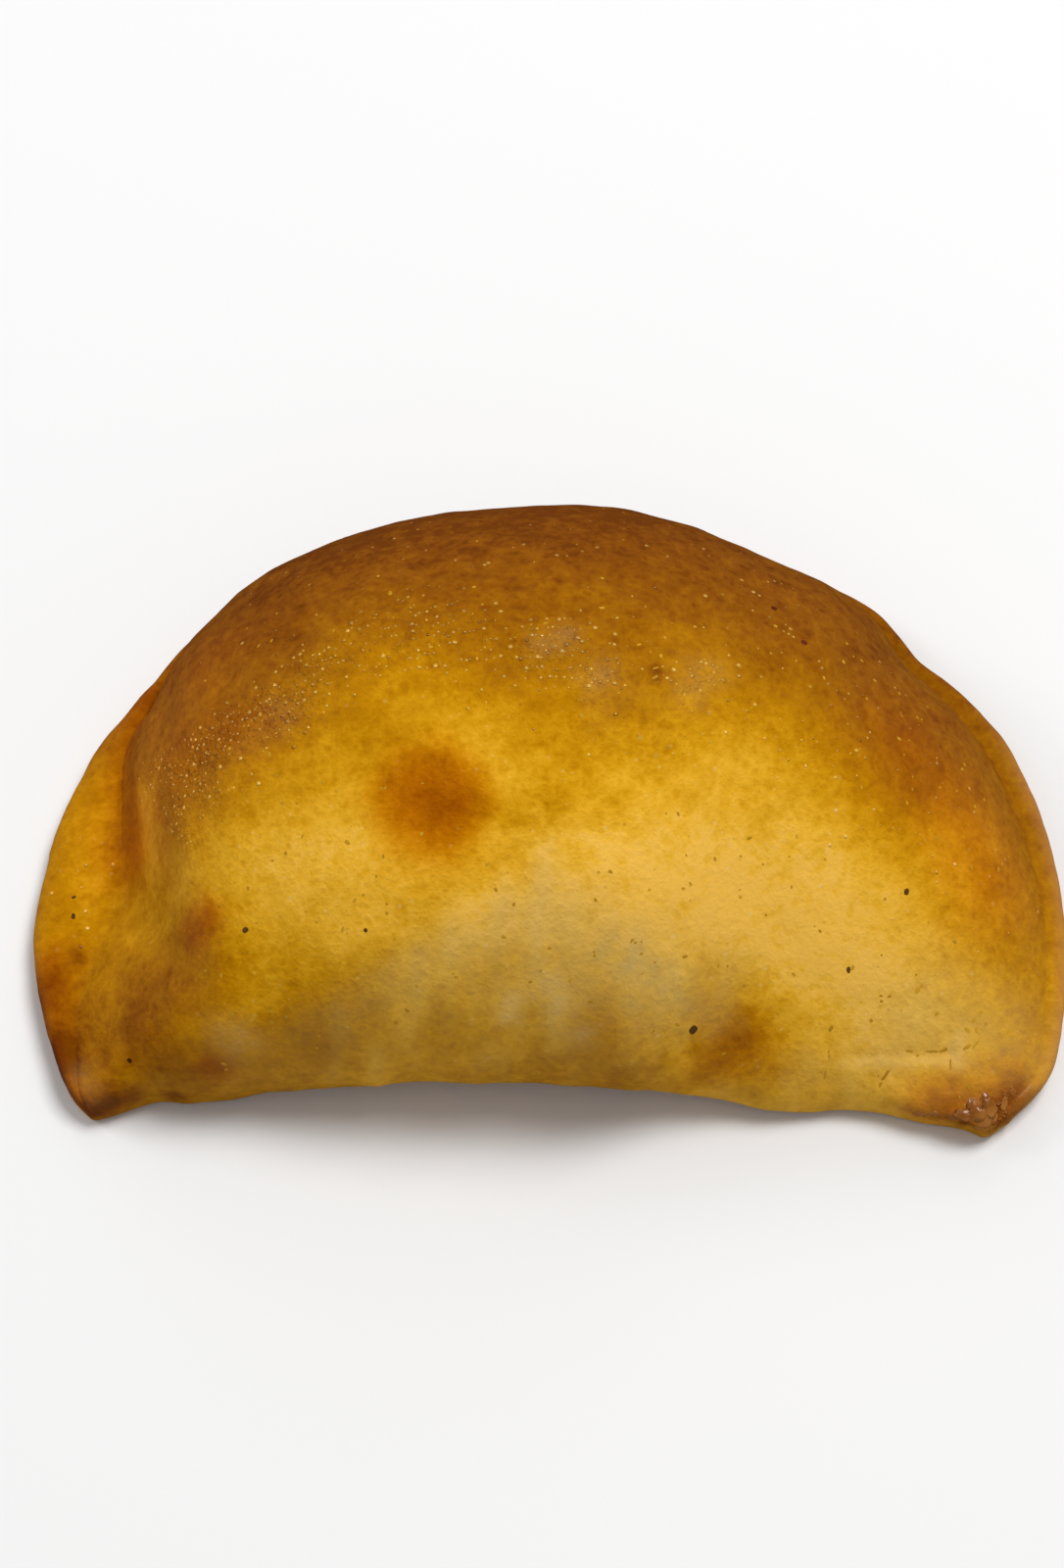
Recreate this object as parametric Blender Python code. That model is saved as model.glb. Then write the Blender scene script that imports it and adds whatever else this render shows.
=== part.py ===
"""An empanada: a disc of dough folded over its filling and pressed shut round a half-moon rim.

The turnover is one closed solid that lies on its flat base.  Its long front side is the fold, its
curved back is the rim.  The shell is a fan of upright sections.  Each one starts at a point on the
fold and ends at a point on the rim, and the fan opens from the left tip and closes at the right one.
Lengths are in metres, bearings in degrees about the centre of the dough disc, with +X at 0 and the
back of the rim at 90.  The finished solid stands on z = 0 with its footprint centred on the origin.
"""

import math

import bmesh
import bpy
from mathutils import Vector

NODE_NAME = "empanada"

# Outline from above, as an oval about the centre of the dough disc.
HALF_LENGTH = 0.0653
BACK_REACH = 0.0600
LEFT_TIP_BEARING = 203.1
RIGHT_TIP_BEARING = -25.9

# Hand-pressed waves along the rim: bearing, spread in degrees, reach outwards.
RIM_WAVES = (
    (148.5, 4.5, -0.0011),
    (126.0, 12.0, 0.0011),
    (64.0, 6.0, -0.0004),
    (50.5, 5.0, 0.0008),
    (40.0, 3.2, -0.0011),
    (13.0, 8.0, 0.00045),
    (167.0, 6.0, 0.00035),
)

# The rim draws in towards each tip: first bearing, last bearing, reach inwards, power.
TIP_DRAWS = (
    (181.0, 194.0, 0.0011, 1.4),
    (197.0, LEFT_TIP_BEARING, 0.00175, 2.0),
    (-11.5, RIGHT_TIP_BEARING, 0.0042, 1.5),
)

# Fold line: where it runs between the tips, and how far along it begins to turn back to each tip.
FOLD_SETBACK = 0.0200
FOLD_LEFT_TURN = 0.30
FOLD_RIGHT_TURN = 0.50
FOLD_WAVES = (
    (0.060, 0.045, 0.0014),
    (0.31, 0.030, -0.0002),
    (0.375, 0.030, 0.0003),
    (0.49, 0.040, 0.0002),
    (0.68, 0.070, 0.0010),
    (0.87, 0.080, 0.0024),
    (0.95, 0.030, 0.0006),
)

# Heights and the pressed rim.
CROWN_HEIGHT = 0.0372
RIM_THICKNESS = 0.0046
TIP_THINNING = 0.35
TIP_ROUNDING = 0.03
LEFT_RISE = 0.42
RIGHT_RISE = 0.50
RIM_WIDTH = 0.0040
RIGHT_RIM_EXTRA = 0.0020
LEFT_NOTCH_EXTRA = 0.0018

# The left end is pressed flat into a wide flap that starts at a crease.  The filling begins to
# slope down to it further back.
FLAP_START_BEARING = 150.0
FLAP_SWEEP = 14.0
FLAP_SHARE = 0.50
SLOPE_START_BEARING = 141.0
SLOPE_SWEEP = 24.0

# The right end is a thin wing without a plump front.
WING_START = 0.56
WING_BLEND = 0.28

# Control rows of a section over the filling: depth as a share of the body, and past 1 as a share of
# the rim, then the height as a share of the rim's thickness plus a share of the rise above it.  The
# plump rows drop steeply to a groove behind the rim, the wing rows run out smoothly to it, and the
# flap rows slope far down.
PLUMP_ROWS = (
    (0.120, 0.00, 0.00),
    (0.000, 0.05, 0.05),
    (-0.030, 0.30, 0.30),
    (0.005, 0.56, 0.56),
    (0.090, 0.80, 0.80),
    (0.220, 0.95, 0.95),
    (0.390, 1.03, 1.03),
    (0.570, 1.03, 1.03),
    (0.750, 0.92, 0.92),
    (0.910, 0.70, 0.70),
    (1.120, 0.42, 0.42),
    (1.250, 0.51, 0.16),
)
WING_ROWS = (
    (0.045, 0.00, 0.00),
    (0.005, 0.00, 0.00),
    (-0.005, 0.55, 0.00),
    (0.020, 1.05, 0.00),
    (0.100, 1.00, 0.28),
    (0.260, 1.00, 0.66),
    (0.440, 1.00, 0.90),
    (0.610, 1.00, 1.00),
    (0.770, 1.00, 0.90),
    (0.905, 1.00, 0.63),
    (0.985, 1.00, 0.31),
    (1.200, 1.00, 0.08),
)
FLAP_ROWS = (
    (0.120, 0.00, 0.00),
    (0.000, 0.05, 0.05),
    (-0.030, 0.30, 0.30),
    (0.005, 0.56, 0.56),
    (0.090, 0.80, 0.80),
    (0.220, 0.95, 0.95),
    (0.370, 1.00, 0.98),
    (0.530, 1.00, 0.88),
    (0.690, 1.00, 0.70),
    (0.860, 1.00, 0.50),
    (1.040, 1.00, 0.30),
    (1.230, 1.00, 0.13),
)
# Rows across the pressed rim, as a share of its width, then of its thickness behind the filling
# and at the wing, then the base rows.
RIM_ROWS = (
    (0.30, 0.90, 0.98),
    (0.65, 1.10, 0.98),
    (1.02, 0.95, 0.88),
    (1.02, 0.05, 0.05),
    (0.30, 0.00, 0.00),
)
BASE_ROWS = (0.80, 0.55, 0.30)

# Facets of the solid: corners round each section, and sections from tip to tip.
CORNERS_ROUND = 48
SECTIONS_ALONG = 98
TIP_CROWDING = 0.6

CRUST_COLOUR = (0.50, 0.21, 0.022, 1.0)
CRUST_ROUGHNESS = 0.45


def ease(value):
    """Return a smooth step from 0 to 1 as value goes from 0 to 1."""
    held = min(max(value, 0.0), 1.0)
    return held * held * (3.0 - 2.0 * held)


def wave(value, centre, spread):
    """Return a soft hump of height 1 at centre."""
    return math.exp(-(((value - centre) / spread) ** 2))


def mix(first, second, share):
    """Return the value that lies a share of the way from first to second."""
    return first + (second - first) * share


def rim_bearing(along):
    """Return the bearing of the rim at a share of the way from the left tip to the right."""
    return mix(LEFT_TIP_BEARING, RIGHT_TIP_BEARING, along)


def rim_reach(bearing):
    """Return the distance from the centre of the disc to the edge of the rim."""
    angle = math.radians(bearing)
    reach = HALF_LENGTH * BACK_REACH / math.hypot(
        BACK_REACH * math.cos(angle), HALF_LENGTH * math.sin(angle)
    )
    for centre, spread, height in RIM_WAVES:
        reach += height * wave(bearing, centre, spread)
    for first, last, height, power in TIP_DRAWS:
        travel = min(max((bearing - first) / (last - first), 0.0), 1.0)
        reach -= height * travel**power
    return reach


def rim_point(along):
    """Return the edge of the rim as seen from above."""
    bearing = rim_bearing(along)
    angle = math.radians(bearing)
    return rim_reach(bearing) * Vector((math.cos(angle), math.sin(angle), 0.0))


def fold_point(along):
    """Return the foot of the fold as seen from above."""
    left_tip = rim_point(0.0)
    right_tip = rim_point(1.0)
    left_turn = max(1.0 - along / FOLD_LEFT_TURN, 0.0) ** 1.4
    right_turn = max((along - FOLD_RIGHT_TURN) / (1.0 - FOLD_RIGHT_TURN), 0.0) ** 1.35
    y = -FOLD_SETBACK
    y += (left_tip.y + FOLD_SETBACK) * left_turn
    y += (right_tip.y + FOLD_SETBACK) * right_turn
    away_from_tips = min(1.0, 12.0 * min(along, 1.0 - along))
    for centre, spread, height in FOLD_WAVES:
        y += height * wave(along, centre, spread) * away_from_tips
    return Vector((mix(left_tip.x, right_tip.x, along), y, 0.0))


def crown_rise(along):
    """Return the height of the crown above the rim's thickness."""
    left = ease(along / LEFT_RISE) ** 0.80
    right = ease((1.0 - along) / RIGHT_RISE) ** 0.85
    return (CROWN_HEIGHT - RIM_THICKNESS) * left * right


def rim_width(along, chord):
    """Return how wide the rim is pressed flat, with the broad flap at the left end."""
    bearing = rim_bearing(along)
    narrow = RIM_WIDTH
    narrow += LEFT_NOTCH_EXTRA * wave(bearing, 151.0, 6.0)
    narrow += RIGHT_RIM_EXTRA * wave(bearing, 20.0, 25.0)
    flap = ease((bearing - FLAP_START_BEARING) / FLAP_SWEEP)
    return min(mix(narrow, FLAP_SHARE * chord, flap), 0.55 * chord)


def section_rows(along, chord):
    """Return the control rows of one section as pairs of depth from the fold and height."""
    rise = crown_rise(along)
    rim = rim_width(along, chord)
    body = chord - rim
    wing = ease((along - WING_START) / WING_BLEND)
    slope = ease((rim_bearing(along) - SLOPE_START_BEARING) / SLOPE_SWEEP)
    rows = []
    for plump, winged, sloped in zip(PLUMP_ROWS, WING_ROWS, FLAP_ROWS):
        depth, rim_share, rise_share = (
            mix(mix(p, w, wing), s, slope) for p, w, s in zip(plump, winged, sloped)
        )
        reach = min(depth, 1.0) * body + max(depth - 1.0, 0.0) * rim
        rows.append((reach, rim_share * RIM_THICKNESS + rise_share * rise))
    for share, behind, winged in RIM_ROWS:
        rows.append((body + share * rim, mix(behind, winged, wing) * RIM_THICKNESS))
    for share in BASE_ROWS:
        rows.append((share * body, 0.0))
    nearness = 1.0 - min(min(along, 1.0 - along) / TIP_ROUNDING, 1.0)
    thinning = mix(TIP_THINNING, 1.0, math.sqrt(1.0 - nearness * nearness))
    return [(depth, height * thinning) for depth, height in rows]


def spline_weights(share):
    """Return the four weights of a uniform cubic B-spline."""
    rest = 1.0 - share
    return (
        rest**3 / 6.0,
        (3.0 * share**3 - 6.0 * share**2 + 4.0) / 6.0,
        (-3.0 * share**3 + 3.0 * share**2 + 3.0 * share + 1.0) / 6.0,
        share**3 / 6.0,
    )


def skin_point(along, turn):
    """Return a point of the shell: a share of the way between the tips, a share round the section."""
    start = fold_point(along)
    across = rim_point(along) - start
    chord = across.length
    rows = section_rows(along, chord)
    place = (turn % 1.0) * len(rows)
    first = int(place)
    depth = 0.0
    height = 0.0
    for step, weight in enumerate(spline_weights(place - first)):
        row = rows[(first + step - 1) % len(rows)]
        depth += weight * row[0]
        height += weight * row[1]
    point = start + across.normalized() * depth
    point.z = height
    return point


def crowd_to_tips(share):
    """Return an evenly spaced share moved so that the sections stand closer near the tips."""
    crowded = (1.0 - math.cos(math.pi * share)) / 2.0
    return mix(share, crowded, TIP_CROWDING)


def place_on_shell(direction):
    """Return where the shell has the point that a unit sphere has in the given direction."""
    along = crowd_to_tips(math.acos(min(max(direction.z, -1.0), 1.0)) / math.pi)
    if math.hypot(direction.x, direction.y) < 1.0e-4:
        ring = [skin_point(along, step / CORNERS_ROUND) for step in range(CORNERS_ROUND)]
        return sum(ring, Vector()) / len(ring)
    turn = math.atan2(direction.y, direction.x) / math.tau
    return skin_point(along, turn)


def build_shell():
    """Return the mesh of the turnover, centred over the origin and standing on z = 0."""
    shell = bmesh.new()
    bmesh.ops.create_uvsphere(
        shell, u_segments=CORNERS_ROUND, v_segments=SECTIONS_ALONG, radius=1.0
    )
    for vertex in shell.verts:
        vertex.co = place_on_shell(vertex.co.normalized())
    lows = Vector(min(vertex.co[axis] for vertex in shell.verts) for axis in range(3))
    highs = Vector(max(vertex.co[axis] for vertex in shell.verts) for axis in range(3))
    shift = Vector((-(lows.x + highs.x) / 2.0, -(lows.y + highs.y) / 2.0, -lows.z))
    bmesh.ops.translate(shell, verts=shell.verts, vec=shift)
    bmesh.ops.recalc_face_normals(shell, faces=shell.faces)
    mesh = bpy.data.meshes.new(NODE_NAME)
    shell.to_mesh(mesh)
    shell.free()
    mesh.shade_smooth()
    return mesh


def crust_material():
    """Return the plain baked finish of the solid."""
    material = bpy.data.materials.new("baked_crust")
    material.use_nodes = True
    shader = material.node_tree.nodes["Principled BSDF"]
    shader.inputs["Base Color"].default_value = CRUST_COLOUR
    shader.inputs["Roughness"].default_value = CRUST_ROUGHNESS
    shader.inputs["Metallic"].default_value = 0.0
    return material


def main():
    """Clear the scene and build the empanada in a collection of its own."""
    for stray in list(bpy.data.objects):
        bpy.data.objects.remove(stray, do_unlink=True)
    collection = bpy.data.collections.new(NODE_NAME)
    bpy.context.scene.collection.children.link(collection)
    mesh = build_shell()
    mesh.materials.append(crust_material())
    collection.objects.link(bpy.data.objects.new(NODE_NAME, mesh))


main()
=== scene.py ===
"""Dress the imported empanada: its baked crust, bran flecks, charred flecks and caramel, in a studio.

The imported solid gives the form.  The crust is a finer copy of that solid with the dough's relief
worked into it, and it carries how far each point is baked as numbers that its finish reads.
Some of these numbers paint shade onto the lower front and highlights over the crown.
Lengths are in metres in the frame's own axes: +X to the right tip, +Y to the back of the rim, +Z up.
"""

from __future__ import annotations

import logging
import math
import random
from collections.abc import Mapping, Sequence
from dataclasses import dataclass, field
from enum import Enum
from typing import Union

import bmesh
import bpy
import numpy as np
from mathutils import Matrix, Vector, noise
from mathutils.bvhtree import BVHTree


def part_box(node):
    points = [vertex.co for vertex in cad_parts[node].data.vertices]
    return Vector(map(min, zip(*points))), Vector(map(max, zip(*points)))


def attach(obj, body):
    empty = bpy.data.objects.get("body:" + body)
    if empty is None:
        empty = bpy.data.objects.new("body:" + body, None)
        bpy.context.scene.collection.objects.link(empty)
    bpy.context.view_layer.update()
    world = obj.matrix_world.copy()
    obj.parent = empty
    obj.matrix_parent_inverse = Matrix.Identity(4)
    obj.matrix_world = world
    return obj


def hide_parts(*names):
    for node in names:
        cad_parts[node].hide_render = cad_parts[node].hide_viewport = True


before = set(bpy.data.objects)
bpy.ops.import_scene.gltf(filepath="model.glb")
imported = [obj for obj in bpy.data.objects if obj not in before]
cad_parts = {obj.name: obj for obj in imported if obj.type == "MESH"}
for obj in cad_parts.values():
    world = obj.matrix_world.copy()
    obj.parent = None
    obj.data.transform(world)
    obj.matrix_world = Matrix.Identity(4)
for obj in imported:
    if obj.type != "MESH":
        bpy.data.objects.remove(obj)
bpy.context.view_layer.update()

LOG = logging.getLogger("empanada")
NODE = "empanada"
BODY = "root"

Colour = tuple[float, float, float, float]
Point = tuple[float, float, float]
Number = Union["Value", float]


def mm(*values: float) -> Point:
    """Return a place that is given in millimetres as metres."""
    return tuple(value / 1000.0 for value in values)


def ease(value: np.ndarray) -> np.ndarray:
    """Return a smooth step from 0 to 1 as each value goes from 0 to 1."""
    held = np.clip(value, 0.0, 1.0)
    return held * held * (3.0 - 2.0 * held)


def hump(value: np.ndarray, spread: float) -> np.ndarray:
    """Return a soft hump that is 1 where the value is 0 and fades over the spread."""
    return np.exp(-((value / spread) ** 2))


def noise_field(points: np.ndarray, length: float, seed: float) -> np.ndarray:
    """Read a smooth noise at each point.

    Args:
        points: Places in metres, one row each.
        length: Rough size of one hump of the noise, in metres.
        seed: Moves the noise, so that fields of one size differ.

    Returns:
        One number for each point, between about -1 and 1.
    """
    away = Vector((seed, 1.7 * seed, -2.3 * seed))
    return np.array([noise.noise(Vector(point) / length + away) for point in points])


def distance_to_path(points: np.ndarray, path: Sequence[Point]) -> np.ndarray:
    """Measure how far each point is from a chain of straight runs.

    Args:
        points: Places in metres, one row each.
        path: The corners of the chain, or one place alone.

    Returns:
        The shortest distance from each point to the chain.
    """
    corners = np.array(path, float)
    nearest = np.linalg.norm(points - corners[0], axis=1)
    for start, end in zip(corners[:-1], corners[1:]):
        run = end - start
        share = np.clip((points - start) @ run / (run @ run), 0.0, 1.0)
        gap = np.linalg.norm(points - start - share[:, None] * run, axis=1)
        nearest = np.minimum(nearest, gap)
    return nearest


class Value:
    """A number that varies over a surface, held by an output socket of a node."""

    def __init__(self, sheet: NodeSheet, socket: bpy.types.NodeSocket) -> None:
        """Hold the socket.

        Args:
            sheet: The node sheet that the socket belongs to.
            socket: The output socket with the number.
        """
        self.sheet = sheet
        self.socket = socket

    def _math(self, operation: str, first: Number, second: Number = 0.0) -> Value:
        """Add a Math node.

        Args:
            operation: The name of the node's operation.
            first: The first number.
            second: The second number, where the operation has one.

        Returns:
            The node's result.
        """
        node = self.sheet.node(
            "ShaderNodeMath", {"operation": operation}, {0: first, 1: second}
        )
        return Value(self.sheet, node.outputs[0])

    def __add__(self, other: Number) -> Value:
        """Return self + other."""
        return self._math("ADD", self, other)

    def __radd__(self, other: Number) -> Value:
        """Return other + self."""
        return self._math("ADD", other, self)

    def __sub__(self, other: Number) -> Value:
        """Return self - other."""
        return self._math("SUBTRACT", self, other)

    def __rsub__(self, other: Number) -> Value:
        """Return other - self."""
        return self._math("SUBTRACT", other, self)

    def __mul__(self, other: Number) -> Value:
        """Return self * other."""
        return self._math("MULTIPLY", self, other)

    def __rmul__(self, other: Number) -> Value:
        """Return other * self."""
        return self._math("MULTIPLY", other, self)

    def __abs__(self) -> Value:
        """Return the number without its sign."""
        return self._math("ABSOLUTE", self)

    def clamped(self) -> Value:
        """Return the number held between 0 and 1."""
        node = self.sheet.node("ShaderNodeClamp", {}, {"Value": self})
        return Value(self.sheet, node.outputs[0])

    def stepped(self, low: float, high: float) -> Value:
        """Ease the number into a mask.

        Args:
            low: Where the mask is 0.
            high: Where the mask is 1.

        Returns:
            A smooth step between the two.
        """
        node = self.sheet.node(
            "ShaderNodeMapRange",
            {"interpolation_type": "SMOOTHSTEP"},
            {"Value": self, "From Min": low, "From Max": high},
        )
        return Value(self.sheet, node.outputs[0])


class NodeSheet:
    """The node tree of one material, with a short way to add its nodes."""

    def __init__(self, name: str) -> None:
        """Make a material with a bare Principled shader.

        Args:
            name: The name of the material.
        """
        self.material = bpy.data.materials.new(name)
        self.material.use_nodes = True
        self.tree = self.material.node_tree
        self.shader = self.tree.nodes["Principled BSDF"]
        self.place = self.node("ShaderNodeTexCoord").outputs["Object"]

    def node(
        self,
        kind: str,
        settings: Mapping[str, object] | None = None,
        inputs: Mapping[object, object] | None = None,
    ) -> bpy.types.Node:
        """Add a node.

        Args:
            kind: The node's type.
            settings: The node's own settings, set first.  A ramp's stops are pairs of place and colour.
            inputs: What each input socket holds: a Value, a socket or a plain number or colour.

        Returns:
            The new node.
        """
        made = self.tree.nodes.new(kind)
        for name, value in (settings or {}).items():
            if name == "stops":
                self._set_stops(made.color_ramp, value)
            else:
                setattr(made, name, value)
        for key, value in (inputs or {}).items():
            self.plug(made.inputs[key], value)
        return made

    @staticmethod
    def _set_stops(ramp: bpy.types.ColorRamp, stops: Sequence[tuple[float, Colour]]) -> None:
        """Give a ramp its stops.

        Args:
            ramp: The colour ramp of a node.
            stops: Pairs of place and colour, from 0 to 1.
        """
        while len(ramp.elements) < len(stops):
            ramp.elements.new(1.0)
        for element, (place, colour) in zip(ramp.elements, stops):
            element.position = place
            element.color = colour

    def plug(self, socket: bpy.types.NodeSocket, value: object) -> None:
        """Link a value to an input socket, or set the socket to a plain number.

        Args:
            socket: The input socket.
            value: A Value, an output socket, or a number, vector or colour.
        """
        if isinstance(value, Value):
            self.tree.links.new(value.socket, socket)
        elif isinstance(value, bpy.types.NodeSocket):
            self.tree.links.new(value, socket)
        else:
            socket.default_value = value

    def attribute(self, name: str) -> Value:
        """Return a number that the piece's mesh holds at its points."""
        node = self.node("ShaderNodeAttribute", {"attribute_name": name})
        return Value(self, node.outputs["Fac"])

    def noise(self, length: float, detail: float = 2.0, roughness: float = 0.5) -> Value:
        """Add a noise.

        Args:
            length: Rough size of one hump, in metres.
            detail: How many finer layers it has.
            roughness: How strong each finer layer is.

        Returns:
            A number about 0, within about 0.5 either way.
        """
        node = self.node(
            "ShaderNodeTexNoise",
            {},
            {
                "Vector": self.place,
                "Scale": 1.0 / length,
                "Detail": detail,
                "Roughness": roughness,
            },
        )
        return Value(self, node.outputs["Fac"]) - 0.5

    def flecks(self, spacing: float, radius: float, share: float) -> Value:
        """Add scattered round flecks.

        Args:
            spacing: Rough distance between the places where a fleck may be, in metres.
            radius: Radius of the largest flecks, in metres.
            share: Share of the places that have one.

        Returns:
            A mask that is 1 on the flecks.
        """
        cells = self.node(
            "ShaderNodeTexVoronoi",
            {"feature": "F1"},
            {"Vector": self.place, "Scale": 1.0 / spacing, "Randomness": 1.0},
        )
        parts = self.node("ShaderNodeSeparateColor", {}, {"Color": cells.outputs["Color"]})
        chance = Value(self, parts.outputs[0])
        size = Value(self, parts.outputs[1])
        reach = (0.45 + 0.55 * size) * (radius / spacing)
        inside = (reach - Value(self, cells.outputs["Distance"])).stepped(0.0, 0.4 * radius / spacing)
        return inside * chance.stepped(1.0 - share, 1.02 - share)

    def bubbles(self, spacing: float) -> Value:
        """Add packed round bubbles.

        Args:
            spacing: Rough distance between two bubbles, in metres.

        Returns:
            A height that is 1 on the bubbles and 0 between them.
        """
        cells = self.node(
            "ShaderNodeTexVoronoi",
            {"feature": "F1"},
            {"Vector": self.place, "Scale": 1.0 / spacing, "Randomness": 1.0},
        )
        return (0.60 - Value(self, cells.outputs["Distance"])).stepped(0.0, 0.60)

    def ramp(self, share: Value, stops: Sequence[tuple[float, Colour]]) -> bpy.types.NodeSocket:
        """Turn a number into a colour.

        Args:
            share: The number, from 0 to 1.
            stops: Pairs of place and colour.

        Returns:
            The colour socket.
        """
        node = self.node("ShaderNodeValToRGB", {"stops": stops}, {"Fac": share})
        return node.outputs["Color"]

    def mixed(
        self, share: Number, first: object, second: object, how: str = "MIX"
    ) -> bpy.types.NodeSocket:
        """Mix two colours.

        Args:
            share: How much of the second colour there is.
            first: The first colour or its socket.
            second: The second colour or its socket.
            how: The name of the way they mix.

        Returns:
            The colour socket.
        """
        node = self.node(
            "ShaderNodeMix",
            {"data_type": "RGBA", "blend_type": how, "clamp_factor": True},
            {0: share, 6: first, 7: second},
        )
        return node.outputs[2]

    def bumped(self, height: Value, reach: float) -> bpy.types.NodeSocket:
        """Roughen the shading normal.

        Args:
            height: The height, as a share of the reach.
            reach: The height in metres that 1 stands for.

        Returns:
            The normal socket.
        """
        node = self.node(
            "ShaderNodeBump", {}, {"Strength": 1.0, "Distance": reach, "Height": height}
        )
        return node.outputs["Normal"]

    def dress(self, values: Mapping[str, object]) -> bpy.types.Material:
        """Set or link the shader's sockets.

        Args:
            values: What each named socket holds.

        Returns:
            The finished material.
        """
        for name, value in values.items():
            self.plug(self.shader.inputs[name], value)
        return self.material


class Field(Enum):
    """The numbers that the crust's mesh holds at its points."""

    BAKE = "bake"
    WARM = "warm"
    FRONT_SHADE = "front_shade"
    # Painted shade: a greyer, darker tone over the lower front, where shade falls.
    BLUSH = "blush"
    # Real flour streaks, and painted highlight over the crown's glints.
    FLOUR_AND_SHEEN = "flour_and_sheen"
    CARAMEL = "caramel"
    BLISTER = "blister"


@dataclass(frozen=True)
class Stroke:
    """A soft-edged touch on one of the crust's fields, at one place or along a path."""

    field: Field
    amount: float
    width: float
    path: tuple[Point, ...]
    sharpness: float = 2.0
    wobble: float = 0.25

    def weigh(self, points: np.ndarray, ragged: np.ndarray) -> np.ndarray:
        """Return how strongly the stroke touches each point.

        Args:
            points: Places in metres, one row each.
            ragged: A noise at each point that makes the edge uneven.

        Returns:
            The amount at each point.
        """
        reach = self.width * (1.0 + self.wobble * ragged)
        gap = distance_to_path(points, self.path) / reach
        return self.amount * np.exp(-(gap**self.sharpness))


@dataclass(frozen=True)
class Crease:
    """A groove pressed into the crust along a path, or a ridge where its depth is negative."""

    depth: float
    width: float
    path: tuple[Point, ...]

    def press(self, points: np.ndarray) -> np.ndarray:
        """Return how far each point moves outwards."""
        return -self.depth * hump(distance_to_path(points, self.path), self.width)


@dataclass(frozen=True)
class Nudge:
    """A soft push of the crust in one direction about one place."""

    place: Point
    width: float
    push: Point

    def shift(self, points: np.ndarray) -> np.ndarray:
        """Return how far each point is pushed, one row each."""
        return hump(distance_to_path(points, (self.place,)), self.width)[:, None] * np.array(self.push)


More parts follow.
